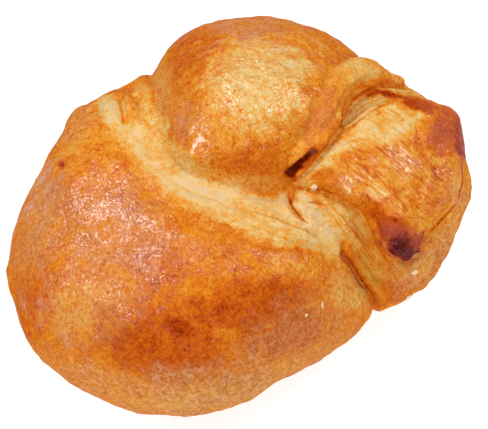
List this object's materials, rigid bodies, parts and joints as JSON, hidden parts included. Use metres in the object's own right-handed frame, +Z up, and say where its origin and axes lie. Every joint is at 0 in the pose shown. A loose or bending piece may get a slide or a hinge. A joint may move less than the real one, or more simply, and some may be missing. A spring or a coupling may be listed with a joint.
{
  "type": "garlic knot",
  "caption": "Baked garlic knot roll: a rope of soft dough tied in a loose knot, with a fat front lobe, a domed crown and a flattened tail, browned and glazed with egg wash.",
  "frame": {"origin": "middle of the flat underside, below the centre of the bounding box", "axes": "+Z up from the table; +X from the fat lobe on the left to the tail on the right; +Y from the front lobe to the back of the crown"},
  "size_m": [0.097, 0.095, 0.05],
  "materials": {
    "crust": "golden brown baked crust with an egg wash shine, paler where the dough was stretched",
    "flecks": "pale coarse salt and crumb flecks"
  },
  "bodies": {
    "root": {"garlic_knot": "crust"}
  },
  "joints": []
}
